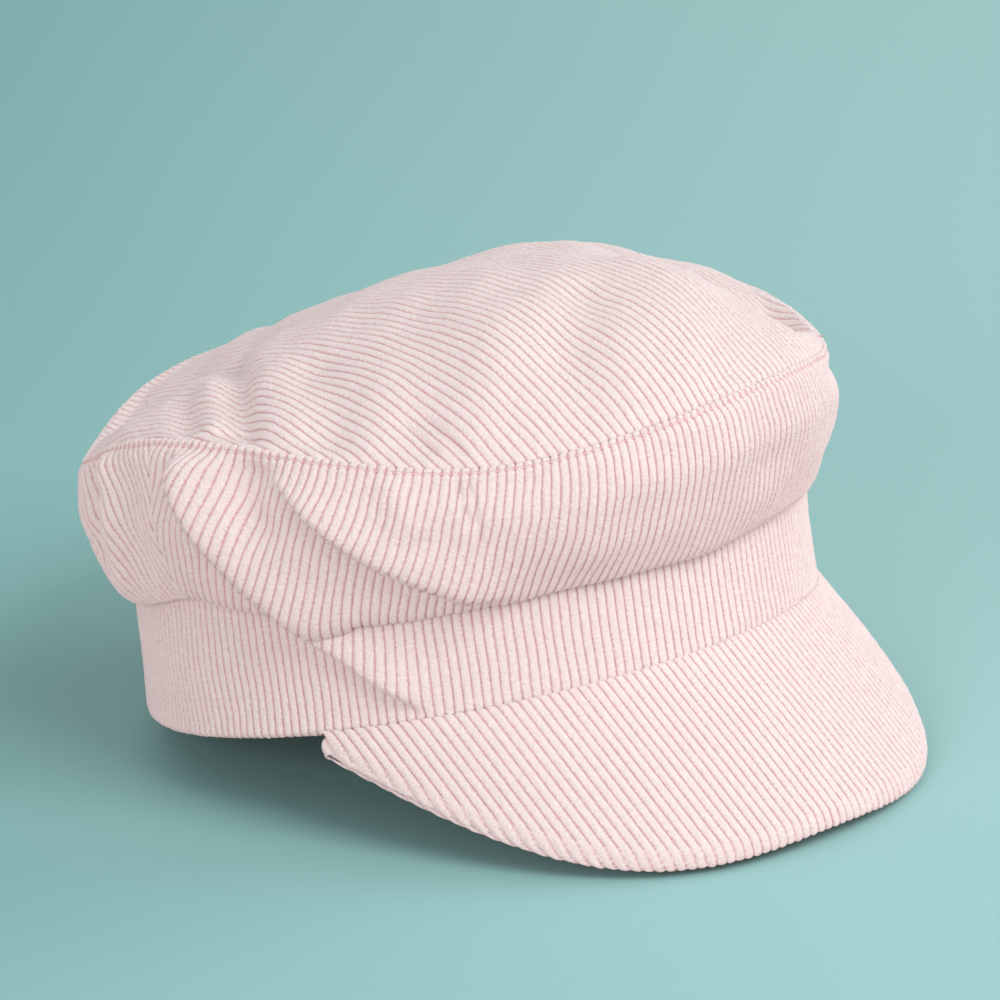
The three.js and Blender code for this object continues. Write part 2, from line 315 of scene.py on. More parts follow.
# ---------- meshes ----------
def quads(rows, columns, ring):
    """Faces of a grid, which closes on itself along its rows when it is a ring."""
    index = np.arange(rows * columns).reshape(rows, columns)
    if ring:
        index = np.concatenate([index, index[:, :1]], 1)
    corners = [index[:-1, :-1], index[:-1, 1:], index[1:, 1:], index[1:, :-1]]
    return np.stack(corners, -1).reshape(-1, 4)


def ladder(fine, coarse, picks):
    """Faces that join a fine border to a coarse one; picks are the places of the coarse points on it."""
    faces = []
    for k in range(len(coarse) - 1):
        run = list(fine[picks[k] : picks[k + 1] + 1])
        faces.append(run[::-1] + [coarse[k], coarse[k + 1]])
    return faces


def picked(count, step):
    """Every step-th index, and the last."""
    return np.unique(np.append(np.arange(0, count, step), count - 1))


def build(name, points, faces, values):
    """A smooth-shaded mesh object; each vertex has the height of the pile and its place on the cloth."""
    mesh = bpy.data.meshes.new(name)
    mesh.from_pydata(to_row(points).tolist(), [], faces)
    pile, across, along = values
    mesh.attributes.new("pile", "FLOAT", "POINT").data.foreach_set("value", pile.astype(np.float32))
    cloth = np.stack([across, along, 0 * along], -1).astype(np.float32)
    mesh.attributes.new("cloth", "FLOAT_VECTOR", "POINT").data.foreach_set("vector", cloth.ravel())
    mesh.shade_smooth()
    piece = bpy.data.objects.new(name, mesh)
    bpy.context.scene.collection.objects.link(piece)
    return piece


def cloth(name, base, relief, values, thick=CLOTH, ring=False, flip=False, row_step=3, column_step=SAMPLES):
    """A closed sheet of cloth: a fine face, relief above the base grid, and a coarser back, thick below."""
    rows, columns = base.shape[:2]
    normals = grid_normals(base, ring) * (-1 if flip else 1)
    front = base + normals * np.broadcast_to(relief, (rows, columns))[..., None]
    row_picks = picked(rows, row_step)
    column_picks = np.arange(0, columns, column_step) if ring else picked(columns, column_step)
    grid = np.ix_(row_picks, column_picks)
    thick = np.broadcast_to(thick, (rows, columns))
    back = (base - normals * thick[..., None])[grid]

    points = np.concatenate([front.reshape(-1, 3), back.reshape(-1, 3)])
    fine = np.arange(rows * columns).reshape(rows, columns)
    coarse = rows * columns + np.arange(grid[0].size * grid[1].size).reshape(back.shape[:2])
    if ring:
        fine = np.concatenate([fine, fine[:, :1]], 1)
        coarse = np.concatenate([coarse, coarse[:, :1]], 1)
        column_picks = np.append(column_picks, columns)
    faces = quads(rows, columns, ring).tolist()
    faces += (quads(*back.shape[:2], ring)[:, ::-1] + rows * columns).tolist()
    faces += ladder(fine[0], coarse[0], column_picks)
    faces += [f[::-1] for f in ladder(fine[-1], coarse[-1], column_picks)]
    if not ring:
        faces += [f[::-1] for f in ladder(fine[:, 0], coarse[:, 0], row_picks)]
        faces += ladder(fine[:, -1], coarse[:, -1], row_picks)
    if flip:
        faces = [f[::-1] for f in faces]
    fields = [np.broadcast_to(f, (rows, columns)) for f in values]
    return build(name, points, faces, [np.append(f.ravel(), f[grid].ravel()) for f in fields])


def wale_pile(across):
    """Height of the pile, 0 in a groove and 1 on a wale; across counts wales."""
    return np.abs(np.sin(math.pi * across)) ** 0.5


def corduroy(name, base, across, along, seed, flattened_and_shaded=1.0, **options):
    """Cloth with wales; across counts wales, along is in mm, and a pile factor below 1 flattens the pile and
    tints it towards the grooves' pink and painted shade.
    """
    across = np.broadcast_to(across, base.shape[:2])
    along = np.broadcast_to(along, base.shape[:2])
    pile = wale_pile(across)
    lumps = 0.10 * waves(across * WALE, along, 5, seed)
    tufts = 0.08 * waves(across * WALE, along, 2.4, seed + 1)
    relief = RIDGE * pile * (1 + lumps + tufts) * flattened_and_shaded - GROOVE_DEPTH
    # A pressed pile also takes more of the grooves' painted shade in the shader.
    return cloth(name, base, relief, (pile * flattened_and_shaded, across * WALE, along), **options)


# ---------- crown side ----------
# Fold paths on the side are (angle, rise) pairs: degrees round the cap, and mm up from the lip. Overlaps are
# the deep folds that roll over; creases are soft ridges and furrows.
ROLL_ROUND = 2.2  # an overlap carries its cloth this far round the cap
ROLL_DOWN = 1.8  # and this far down
SIDE_OVERLAPS = [
    {
        "path": [
            (-85, 46), (-83, 37), (-80.5, 27), (-77.5, 18),
            (-74, 11), (-69.5, 5), (-65, -1), (-61.5, -8),
        ],
        "rise": 5.0, "sink": 5.0, "reach": 9, "start": 0.12, "end": 0.04,
    },
    {
        "path": [(-70, 44), (-66, 37), (-61, 29), (-56, 22), (-50, 15.5), (-44, 10), (-38, 5), (-30, 1)],
        "rise": 4.0, "sink": 3.4, "reach": 8, "start": 0.25, "end": 0.25,
    },
]
SIDE_CREASES = [
    {"path": [(-79, 50), (-80.5, 38), (-82, 26), (-80, 14)], "height": 2.6, "width": 6},
    {"path": [(-70, 52), (-71.5, 40), (-72, 30), (-68, 18)], "height": -3.6, "width": 5},
    {"path": [(-19.5, 52), (-22, 24), (-21.5, 0)], "height": 1.8, "width": 10},
    {"path": [(-41.6, 52), (-40.6, 38), (-39.4, 24)], "height": -1.7, "width": 1.2},
    {"path": [(-39.9, 50), (-39.1, 36), (-38.2, 20)], "height": -1.1, "width": 1.0},
    {"path": [(-104, 56), (-102.5, 30), (-105, 8), (-108, -4)], "height": 2.6, "width": 4.5},
    {"path": [(-112, 56), (-111, 30), (-113, 6)], "height": -7.0, "width": 6},
    {"path": [(48, 56), (50, 30), (50, -4)], "height": -3.2, "width": 34},
    {"path": [(-96, 46), (-96, 20), (-97, 4)], "height": -1.2, "width": 6},
    {"path": [(-52, 50), (-49, 34), (-47, 22)], "height": 1.4, "width": 5},
    {"path": [(14, 52), (10, 30), (12, 8)], "height": -1.2, "width": 9},
    {"path": [(62, 50), (66, 28), (60, 4)], "height": -1.8, "width": 9},
    {"path": [(104, 50), (98, 30), (103, 4)], "height": -3.0, "width": 7},
    {"path": [(128, 50), (121, 24), (127, 2)], "height": -2.6, "width": 8},
    {"path": [(156, 52), (163, 26), (155, 4)], "height": -2.2, "width": 9},
    {"path": [(-164, 52), (-156, 26), (-162, 4)], "height": -2.6, "width": 9},
    {"path": [(-140, 50), (-134, 28), (-139, 6)], "height": -2.2, "width": 8},
]


def round_the_side(path):
    """A path in degrees and mm, as a smooth line in mm round the side."""
    return curved([(math.radians(angle) * SIDE_RADIUS, rise) for angle, rise in path])


def under_the_lip(angle, rise, start, slope):
    """The turn under the lip: a small U, then straight up beside the band to its top."""
    lip_z = level(LIP_LEVEL, angle)
    beside, turn_height, turn_length = 0.8, 3.6, 6.4
    turn_top = on_band(angle, lip_z + turn_height, beside)
    foot = on_band(angle, np.maximum(BAND_HEIGHT, lip_z + turn_height + 0.4), beside)
    straight = foot[..., 2] - turn_top[..., 2]
    way = (LIP_JOIN * SIDE_RISE - rise) / (LIP_JOIN * SIDE_RISE + UNDER_TURN) * (turn_length + straight)
    t = np.clip(way / turn_length, 0, 1)[..., None]
    near = start - 3.8 * slope
    far = turn_top - np.array([0, 0, 4.4])
    turn = (1 - t) ** 3 * start + 3 * t * (1 - t) ** 2 * near + 3 * t * t * (1 - t) * far + t**3 * turn_top
    rest = np.clip((way - turn_length) / np.maximum(straight, 0.1), 0, 1)[..., None]
    return turn + (foot - turn_top) * rest


def side_base(angle, rise):
    """The crown side without folds, from under the lip (rise below 0) to the tip seam."""
    lip_z = level(LIP_LEVEL, angle)
    seam_z = level(SEAM_LEVEL, angle)
    lip = on_band(angle, lip_z, LIP_OUT)
    middle = on_ring(BULGE, angle, mix(lip_z, seam_z, BULGE_SHARE))
    top = on_ring(SEAM, angle, seam_z)
    handle = 2 * middle - 0.5 * (lip + top)
    share = np.clip(rise / SIDE_RISE, LIP_JOIN, 1.2)[..., None]
    outside = (1 - share) ** 2 * lip + 2 * share * (1 - share) * handle + share**2 * top
    start = (1 - LIP_JOIN) ** 2 * lip + 2 * LIP_JOIN * (1 - LIP_JOIN) * handle + LIP_JOIN**2 * top
    slope = (1 - LIP_JOIN) * (handle - lip) + LIP_JOIN * (top - handle)
    slope /= np.linalg.norm(slope, axis=-1, keepdims=True)
    under = under_the_lip(angle, rise, start, slope)
    return np.where((rise < LIP_JOIN * SIDE_RISE)[..., None], under, outside)


def side_surface(angle, rise):
    """The crown side with its folds."""
    u = wrap(angle) * SIDE_RADIUS
    height = 0.9 * ring_waves(angle, rise, 60, 11) + 0.35 * ring_waves(angle, rise, 22, 12)
    shift = np.zeros(u.shape)
    for fold in SIDE_OVERLAPS:
        lift, roll = overlap(u, rise, **{**fold, "path": round_the_side(fold["path"])})
        height = height + lift
        shift = shift + roll
    for fold in SIDE_CREASES:
        height = height + crease(u, rise, **{**fold, "path": round_the_side(fold["path"])})
    held = smooth((SIDE_RISE - rise) / 8) * smooth((rise + UNDER_TURN) / 10)
    normals = surface_normals(side_base, angle, rise, 0.01, 0.6)
    roll = shift * held
    moved = side_base(angle - ROLL_ROUND * roll / SIDE_RADIUS, rise - ROLL_DOWN * roll)
    return moved + normals * (height * held)[..., None]


def panel_pattern(middle, half):
    """Where a side panel's columns run along its wales: wale count, angle, rise, and distance to its seams."""
    pattern_radius = SIDE_RADIUS * half / PANEL_SPREAD
    shortest = 0.5
    reach = (pattern_radius + SIDE_RISE - shortest) * math.sin(PANEL_SPREAD)
    count = int(reach / WALE * SAMPLES)
    across = np.arange(-count, count + 1) / SAMPLES
    start = np.maximum(-UNDER_TURN, np.abs(across * WALE) / math.sin(PANEL_SPREAD) - pattern_radius)
    rise = mix(start, SIDE_RISE, spaced(60, 0.0, 0.75)[:, None])
    x = across * WALE + 0.12 * waves(across * WALE, rise, 12, 5)
    turn = np.arcsin(np.clip(x / (pattern_radius + rise), -1, 1))
    turn = np.clip(turn, -PANEL_SPREAD, PANEL_SPREAD)
    beside = (PANEL_SPREAD - np.abs(turn)) * (pattern_radius + rise)
    edge = np.minimum(beside, SIDE_RISE - rise)
    return across, middle + turn * half / PANEL_SPREAD, rise, edge


def side_panel(name, middle, half, seed):
    """A length of the crown side between two side seams, drawn in along its topstitching."""
    across, angle, rise, edge = panel_pattern(middle, half)
    stitched = np.exp(-(((rise - SIDE_RISE + TOPSTITCH_DROP) / 0.7) ** 2))
    sunk = rolled(edge) + 0.35 * stitched
    base = side_surface(angle, rise) - surface_normals(side_surface, angle, rise, 0.01, 0.5) * sunk[..., None]
    # Along the topstitch the pile is pressed flat, which also paints that line with the grooves' shade.
    return corduroy(name, base, across, rise, seed, flattened_and_shaded=1 - 0.35 * stitched)


# ---------- crown tip ----------
# Fold paths on the tip are (x, y) pairs in mm, seen from above.
TIP_CREASES = [
    {"path": [(-70, 18), (-82, 4), (-97, -14)], "height": -2.2, "width": 4, "end": 0.05},
    {"path": [(-63, 12), (-80, -8), (-93, -22)], "height": 1.6, "width": 5, "end": 0.05},
    {
        "path": [(-46, 30), (-60, 8), (-79, -16), (-88, -28), (-97, -40)],
        "height": -3.8, "width": 4.5, "end": 0.05,
    },
    {"path": [(-54, -4), (-76, -30), (-90, -44)], "height": 1.4, "width": 6},
    {"path": [(-54, -20), (-66, -36), (-84, -60)], "height": -1.8, "width": 7},
    {"path": [(-10, -50), (-36, -72), (-60, -90)], "height": 2.2, "width": 8},
    {"path": [(-57, -62), (-58, -74), (-59, -92)], "height": -1.1, "width": 1.2, "end": 0.05},
    {"path": [(-61.5, -60), (-62.5, -72), (-63.5, -88)], "height": -0.9, "width": 1.1, "end": 0.05},
    {"path": [(46, -40), (24, -78), (-2, -94), (-29, -106)], "height": 2.8, "width": 11},
    {"path": [(10, -60), (-12, -78), (-30, -92)], "height": -1.6, "width": 9},
    {"path": [(96, 20), (70, 36), (40, 40)], "height": -2.2, "width": 10},
    {"path": [(84, -40), (60, -20), (40, 4)], "height": -1.8, "width": 11},
    {"path": [(40, 98), (26, 70), (30, 40)], "height": -2.0, "width": 9},
    {"path": [(-44, 96), (-34, 66), (-46, 40)], "height": -0.8, "width": 12},
    {
        "path": [(48, -10), (62, -26), (74, -40), (90, -60)],
        "height": -8.5, "width": 23, "start": 0.5, "end": 0.01,
    },
    {"path": [(30, -20), (50, 1), (60, 20)], "height": 2.0, "width": 20},
    {"path": [(-40, 50), (-58, 66), (-76, 84)], "height": -2.5, "width": 18, "start": 0.5, "end": 0.01},
]


def tip_place(x, y):
    """Share of the way from the tip's middle to its seam, and the angle round the cap."""
    dx = (x - SEAM["cx"]) / SEAM["a"]
    dy = (y - SEAM["cy"]) / SEAM["b"]
    return np.hypot(dx, dy), np.arctan2(dx, -dy)


def tip_height(x, y):
    """Height of the tip above the plane of the band's rim, before its folds."""
    share, angle = tip_place(x, y)
    crest = CREST["z"] + CREST["slope_x"] * x + CREST["slope_y"] * y
    return mix(crest, level(SEAM_LEVEL, angle) - 0.2, share ** CREST["power"])


def tip_folds(x, y):
    """Height of the tip's folds, and the distance to its seam."""
    share, _ = tip_place(x, y)
    height = 0.9 * waves(x, y, 75, 21) + 0.4 * waves(x, y, 26, 22)
    for fold in TIP_CREASES:
        height = height + crease(x, y, **{**fold, "path": curved(fold["path"])})
    return height, (1 - share) * (SEAM["a"] + SEAM["b"]) / 2


def tip_surface(x, y):
    """The crown tip with its folds."""
    height, edge = tip_folds(x, y)
    base = np.stack([x, y, tip_height(x, y)], -1)
    normals = grid_normals(base)
    return base + normals * (height * smooth(edge / 5))[..., None], edge


def tip_pattern():
    """Plan positions of the tip's mesh, with columns along its wales, front to back."""
    plan = np.linspace(0.3 - SEAM["a"], SEAM["a"] - 0.3, 400)
    x = SEAM["cx"] + plan
    slope = np.gradient(tip_height(x, SEAM["cy"] + 0 * x), x)
    flat = np.concatenate([[0], np.cumsum(np.hypot(1, slope)[1:] * np.diff(x))])
    flat -= np.interp(SEAM["cx"], x, flat)
    first, last = math.ceil(flat[0] / WALE * SAMPLES), math.floor(flat[-1] / WALE * SAMPLES)
    across = np.arange(first, last + 1) / SAMPLES
    x = np.interp(across * WALE, flat, x)
    half = SEAM["b"] * np.sqrt(1 - ((x - SEAM["cx"]) / SEAM["a"]) ** 2)
    along = 2 * spaced(124, 0.8, 0.8)[:, None] - 1
    y = SEAM["cy"] + half * along
    return across, x + 0.12 * waves(across * WALE, y, 14, 6), y


def crown_tip():
    """The corduroy tip, its edge rolled down into the seam."""
    across, x, y = tip_pattern()
    base, edge = tip_surface(x, y)
    base = base - grid_normals(base) * rolled(edge)[..., None]
    return corduroy("crown_tip_cloth", base, across, y, 31)


# ---------- band ----------
BAND_FOLD = {
    "path": [(-71, 33), (-68, 29), (-60.5, 20), (-55, 12), (-50.5, 6), (-46.5, 0)],
    "rise": 4.2, "sink": 0.5, "reach": 9, "start": 0.08, "end": 0.3,
}


def band_surface(angle, z, out):
    """The band's cloth at a height, with the fold across its side."""
    u = wrap(angle) * SIDE_RADIUS
    lift, roll = overlap(u, z, **{**BAND_FOLD, "path": round_the_side(BAND_FOLD["path"])})
    free = smooth((out + HEM_DEPTH) / HEM_DEPTH) * smooth(z / 5)
    uneven = 0.45 * ring_waves(angle, z, 40, 41) * smooth((BAND_HEIGHT - z) / 8)
    shifted = angle - 1.6 * roll * free / SIDE_RADIUS
    return on_band(shifted, z - 1.0 * roll * free, out + (lift + np.maximum(uneven, -0.3)) * free)


def band():
    """The band: its face, round its rim, and a hem turned up inside, sewn shut at the back."""
    count = round(math.pi * (BAND_RIM["a"] + BAND_RIM["b"]) / WALE)
    across = np.arange(count * SAMPLES) / SAMPLES
    angle = math.pi + 2 * math.pi * across / count
    radius = HEM_DEPTH / 2
    inside = mix(HEM_HEIGHT, radius, np.linspace(0, 1, 7)[:-1])
    turn = np.linspace(0, math.pi, 13)
    outside = mix(radius, BAND_HEIGHT, np.linspace(0, 1, 27))[1:]
    z = np.concatenate([inside, radius - radius * np.sin(turn), outside])[:, None]
    out = np.concatenate([0 * inside - 2 * radius, -radius - radius * np.cos(turn), 0 * outside])[:, None]
    angle, z, out = np.broadcast_arrays(angle, z, out)
    angle = angle + 0.12 * ring_waves(angle, z, 14, 7) / SIDE_RADIUS
    base = band_surface(angle, z, out)
    thick = np.where(out < -0.5, HEM_CLOTH, CLOTH)
    away = wrap(angle - math.pi) * SIDE_RADIUS
    seam_width, seam_depth = 0.9, 0.9
    sunk = seam_depth * np.exp(-((away / seam_width) ** 2))
    base = base - grid_normals(base, True) * sunk[..., None]
    return corduroy("band_cloth", base, across, z + out, 42, thick=thick, ring=True)


# ---------- visor ----------
def visor_flat():
    """Flat coordinate across the visor for each x, from the length of the curve that its slope sweeps."""
    widest = 96
    x = np.linspace(-widest, widest, 4001)
    y = VISOR_ROOT["b"] * np.sqrt(1 - (x / VISOR_ROOT["a"]) ** 2) * math.sin(VISOR_SLOPE)
    flat = np.concatenate([[0], np.cumsum(np.hypot(np.diff(x), np.diff(y)))])
    return x, flat - flat[-1] / 2


VISOR_X, VISOR_FLAT = visor_flat()


def visor_root_y(x):
    """The visor's root follows the band's rim, a little outside it."""
    return -VISOR_ROOT["b"] * np.sqrt(1 - (x / VISOR_ROOT["a"]) ** 2)


def visor_surface(flat, out, depth=0.0):
    """The visor at flat coordinates: across, and out from the seam down its slope; depth is under its face."""
    x = np.interp(flat, VISOR_FLAT, VISOR_X)
    step = 0.5
    ahead = np.interp(flat + step, VISOR_FLAT, VISOR_X)
    behind = np.interp(flat - step, VISOR_FLAT, VISOR_X)
    across = np.stack([ahead - behind, visor_root_y(ahead) - visor_root_y(behind), 0 * x], -1)
    slope = np.array([0, -math.cos(VISOR_SLOPE), -math.sin(VISOR_SLOPE)])
    normals = np.cross(slope, across)
    normals /= np.linalg.norm(normals, axis=-1, keepdims=True)
    drop = out * math.sin(VISOR_SLOPE) - 0.2
    drop = 0.5 * (drop - VISOR_LAP + np.sqrt((drop + VISOR_LAP) ** 2 + 0.3)) + depth / math.cos(VISOR_SLOPE)
    y = visor_root_y(x) - out * math.cos(VISOR_SLOPE)
    sag = 0.3 * waves(flat, out, 70, 51) * smooth(out / 20)
    return np.stack([x, y, -drop], -1) + normals * sag[..., None]


def visor_outline(inset, flat_at):
    """Outer edge of the visor in flat coordinates, set in by inset, and its outward way, at flat positions."""
    corner = np.array([VISOR_CORNER, visor_root_y(VISOR_CORNER)])
    front_y = visor_root_y(0.0) - VISOR_LENGTH * math.cos(VISOR_SLOPE)
    back = np.array([-math.sin(VISOR_CORNER_TURN), -math.cos(VISOR_CORNER_TURN)])
    a = np.array([0, front_y])
    b = np.array([VISOR_FRONT_HANDLE, front_y])
    c = corner + VISOR_CORNER_HANDLE * back
    d = corner
    t = np.linspace(0, 1, 500)[:, None]
    half = (1 - t) ** 3 * a + 3 * t * (1 - t) ** 2 * b + 3 * t * t * (1 - t) * c + t**3 * d
    flat = np.interp(half[:, 0], VISOR_X, VISOR_FLAT)
    out = (visor_root_y(half[:, 0]) - half[:, 1]) / math.cos(VISOR_SLOPE)
    line = np.stack([np.append(-flat[:0:-1], flat), np.append(out[:0:-1], out)], -1)
    heading = np.gradient(line, axis=0)
    heading /= np.linalg.norm(heading, axis=1, keepdims=True)
    outward = np.stack([-heading[:, 1], heading[:, 0]], -1)
    inner = line - inset * outward
    keep = inner[:, 1] > 0
    inner, outward = inner[keep], outward[keep]

    def at_flat(field):
        return np.stack([np.interp(flat_at, inner[:, 0], field[:, k]) for k in (0, 1)], -1)

    return at_flat(inner), unit(at_flat(outward))


def visor_columns(inset, samples):
    """Flat positions across the visor on its wales, with the outline point and outward way of each."""
    corners, _ = visor_outline(inset, VISOR_FLAT[[0, -1]])
    count = math.floor((corners[1, 0] - 0.05) / WALE * samples)
    across = np.arange(-count, count + 1) / samples
    edge, outward = visor_outline(inset, across * WALE)
    return across, edge, outward


def visor_top():
    """The visor's upper cover: over the face, round the outer edge and a little way back underneath."""
    radius = VISOR_RIM
    across, edge, outward = visor_columns(radius, SAMPLES)
    share = spaced(48, 0.0, 0.4)[:, None]
    out = mix(-VISOR_TUCK, edge[:, 1], share)
    flat = np.broadcast_to(across * WALE, out.shape)
    face = visor_surface(flat, out)

    foot = visor_surface(*edge.T)
    heading = unit(visor_surface(*(edge + 0.5 * outward).T) - visor_surface(*(edge - 0.5 * outward).T))
    down = visor_surface(*edge.T, 1.0) - foot
    way = np.linspace(0, math.pi * radius + VISOR_HEM, 24)[1:, None]
    bend = np.clip(way / radius, 0, math.pi)[..., None]
    back = np.maximum(way - math.pi * radius, 0)[..., None]
    rim = foot + heading * (radius * np.sin(bend) - back) + down * radius * (1 - np.cos(bend))

    base = np.concatenate([face, rim])
    wales = np.concatenate([flat, edge[:, 0] + outward[:, 0] * way]) / WALE
    along = np.concatenate([out, edge[:, 1] + outward[:, 1] * way])
    return corduroy("visor_top_cloth", base, wales, along, 61, flip=True)


def visor_under():
    """The visor's lower cover, set inside the turned edge of the upper one."""
    samples = 4
    across, edge, outward = visor_columns(VISOR_RIM + 2.0, samples)
    out = mix(-VISOR_TUCK, edge[:, 1], spaced(44, 0.0, 0.8)[:, None])
    distance = (edge[:, 1] - out) * np.maximum(outward[:, 1], 0.2)
    depth = mix(2 * VISOR_RIM, VISOR_THICKNESS, smooth(distance / VISOR_TAPER))
    base = visor_surface(np.broadcast_to(across * WALE, out.shape), out, depth)
    base = base - grid_normals(base) * rolled(distance, 0.6)[..., None]
    return corduroy("visor_under_cloth", base, across, out, 62, thick=VISOR_UNDER_CLOTH, column_step=samples)


# ---------- inside of the cap ----------
def plain(name, base, uneven, thick, **options):
    """Smooth cloth without wales."""
    rows, columns = base.shape[:2]
    values = (0.5, np.arange(columns) * 1.0, np.arange(rows)[:, None] * 1.0)
    return cloth(name, base, uneven, values, thick=thick, column_step=4, **options)


def full_turn(count):
    """Angles spread evenly over a full turn."""
    return np.arange(count) * 2 * math.pi / count


def inner_ring(name, low, high, inset, thick, seed, wave=0.0):
    """A ring of plain cloth inside the band; inset is measured to its face, and wave lets it hang down."""
    z = mix(low, high, np.linspace(0, 1, 22)[:, None])
    angle, z = np.broadcast_arrays(full_turn(480), z)
    hang_at, hang_width = math.radians(-68), math.radians(13)
    hang = wave * np.exp(-((wrap(angle - hang_at) / hang_width) ** 2))
    z = z - hang * (high - z) / (high - low)
    base = on_band(angle, z, -inset)
    uneven = 0.12 * ring_waves(angle, z, 18, seed)
    return plain(name, base, uneven, thick, ring=True, flip=True)


def interfacing():
    return inner_ring("band_interfacing_sheet", 1.6, 37.5, 2.5, 0.55, 71)


def sweatband():
    return inner_ring("sweatband_tape", 0.6, 33.5, SWEATBAND_IN, 0.7, 72, wave=1.6)


def side_lining(name, middle, half, seed):
    """Lining of a crown side: from the sweatband's top, over the band, then up inside the side to the tip."""
    angle = middle + half * np.linspace(-0.997, 0.997, 260)
    first_rise, crossing = 3.0, 14.0
    rise = mix(first_rise, SIDE_RISE - 0.6, np.linspace(0, 1, 44)[:, None])
    angle, rise = np.broadcast_arrays(angle, rise)
    outer = side_surface(angle, rise)
    cover = outer - grid_normals(outer) * SIDE_LINING_GAP
    share = np.clip((rise - first_rise) / crossing, 0, 1)
    foot_z, knee_z = 34.4, 46.0
    foot_in, knee_in = 4.6, 3.0
    inside = on_band(angle, mix(foot_z, knee_z, share), -mix(foot_in, knee_in, share))
    base = mix(inside, cover, smooth(share * 1.6 - 0.6)[..., None])
    uneven = 0.25 * waves(wrap(angle - middle) * SIDE_RADIUS, rise, 16, seed) - 0.35
    return plain(name, base, uneven, LINING_CLOTH, flip=True)


def tip_lining():
    """Lining of the tip: a round sheet that follows the tip's folds from below."""
    share = spaced(72, 0.0, 0.4)[:, None] * 0.985
    share, angle = np.broadcast_arrays(np.maximum(share, 0.004), full_turn(320))
    x = SEAM["cx"] + SEAM["a"] * share * np.sin(angle)
    y = SEAM["cy"] - SEAM["b"] * share * np.cos(angle)
    height, edge = tip_folds(x, y)
    tip = np.stack([x, y, tip_height(x, y) + height * smooth(edge / 5)], -1)
    base = tip + grid_normals(tip, True) * mix(2.2, 3.0, smooth(edge / 12))[..., None]
    return plain("tip_lining_cloth", base, 0.2 * waves(x, y, 16, 75) + 0.2, LINING_CLOTH, ring=True)


def label():
    """A blank ribbon at the back of the sweatband, its ends curling off it a little."""
    aside = np.linspace(-1, 1, 33)
    z = mix(8.0, 28.0, np.linspace(0, 1, 25)[:, None])
    aside, z = np.broadcast_arrays(aside, z)
    curl = 0.35 * np.abs(aside) ** 3
    base = on_band(math.pi + math.radians(8) * aside, z, -SWEATBAND_IN - 0.7 - curl)
    return plain("size_label_ribbon", base, 0.0 * z, 0.35, flip=True)


# ---------- stitches ----------
def stitches(name, runs, ups, radius):
    """Short threads: each run is a few points along a stitch, with the way up from the cloth under it."""
    sides = 7
    turn = full_turn(sides)
    points, faces = [], []
    for run, up in zip(runs, ups):
        beside = np.cross(unit(run[-1] - run[0]), up)
        section = np.cos(turn)[:, None] * up + np.sin(turn)[:, None] * beside
        swell = radius * np.sin(np.linspace(0.18, 0.82, len(run)) * math.pi) ** 0.5
        start = sum(len(p) for p in points)
        points.append((run[:, None, :] + section * swell[:, None, None]).reshape(-1, 3))
        faces += (quads(len(run), sides, True)[:, ::-1] + start).tolist()
        faces.append((start + np.arange(sides)).tolist())
        faces.append((start + (len(run) - 1) * sides + np.arange(sides))[::-1].tolist())
    points = np.concatenate(points)
    flat = np.zeros(len(points))
    return build(name, points, faces, (flat, flat, flat))


def bowed(centres, normals, aside, length, arch, points=5):
    """Stitch paths of a length across each centre, their ends dipping into the cloth by arch."""
    t = np.linspace(-1, 1, points)[:, None]
    return [c + a * t * length / 2 - n * arch * t * t for c, n, a in zip(centres, normals, aside)]


def topstitch():
    """A row of stitches below the tip seam, one across each groove of the side panels; their deeper pink
    thread also paints the shade of the stitch holes.
    """
    rise = SIDE_RISE - TOPSTITCH_DROP
    centres, normals, asides = [], [], []
    for middle, half in PANELS:
        pattern_radius = SIDE_RADIUS * half / PANEL_SPREAD
        reach = math.floor((pattern_radius + rise) * math.sin(PANEL_SPREAD) / WALE - 0.5)
        turn = np.arcsin(np.arange(-reach, reach + 1) * WALE / (pattern_radius + rise))
        angle = middle + turn * half / PANEL_SPREAD
        rises = np.full(angle.shape, rise)
        here = side_surface(angle, rises)
        normal = surface_normals(side_surface, angle, rises, 0.01, 0.5)
        centres.append(here + normal * (0.1 - GROOVE_DEPTH))
        normals.append(normal)
        asides.append(unit(side_surface(angle + 0.01, rises) - here))
    centres, normals, asides = (np.concatenate(part) for part in (centres, normals, asides))
    return stitches("crown_topstitch_thread", bowed(centres, normals, asides, 1.7, 0.45), normals, 0.3)


def sweatband_stitch():
    """The stitches that hold the sweatband to the hem, seen on its face."""
    angle = full_turn(150)
    z = np.full(angle.shape, 3.5)
    here = on_band(angle, z, -SWEATBAND_IN - 0.1)
    aside = unit(on_band(angle + 0.01, z, -SWEATBAND_IN - 0.1) - here)
    inward = unit(np.stack([-np.sin(angle), np.cos(angle), 0 * angle], -1))
    return stitches("sweatband_stitch_thread", bowed(here, inward, aside, 2.6, 0.35), inward, 0.3)


# ---------- materials ----------
def shader(name, roughness, sheen=0.0):
    """A new material, its node tree, its Principled shader, and a function that adds a node.

    That function takes the node's kind, its settings, and values or sockets for its inputs, by name or, as i0,
    i1 and so on, by place.
    """
    look = bpy.data.materials.new(name)
    look.use_nodes = True
    tree = look.node_tree
    surface = tree.nodes["Principled BSDF"]
    surface.inputs["Roughness"].default_value = roughness
    surface.inputs["Specular IOR Level"].default_value = 0.15
    surface.inputs["Sheen Weight"].default_value = sheen
    surface.inputs["Sheen Roughness"].default_value = 0.6

    def node(kind, settings=None, **inputs):
        made = tree.nodes.new("ShaderNode" + kind)
        for key, value in (settings or {}).items():
            setattr(made, key, value)
        for key, value in inputs.items():
            socket = made.inputs[int(key[1:])] if key[1:].isdigit() else made.inputs[key]
            if isinstance(value, bpy.types.NodeSocket):
                tree.links.new(value, socket)
            else:
                socket.default_value = value
        return made

    return look, tree, surface, node


def noise(node, spot, scale, detail=3.0):
    return node("TexNoise", Vector=spot, Scale=scale, Detail=detail, Roughness=0.6).outputs["Fac"]


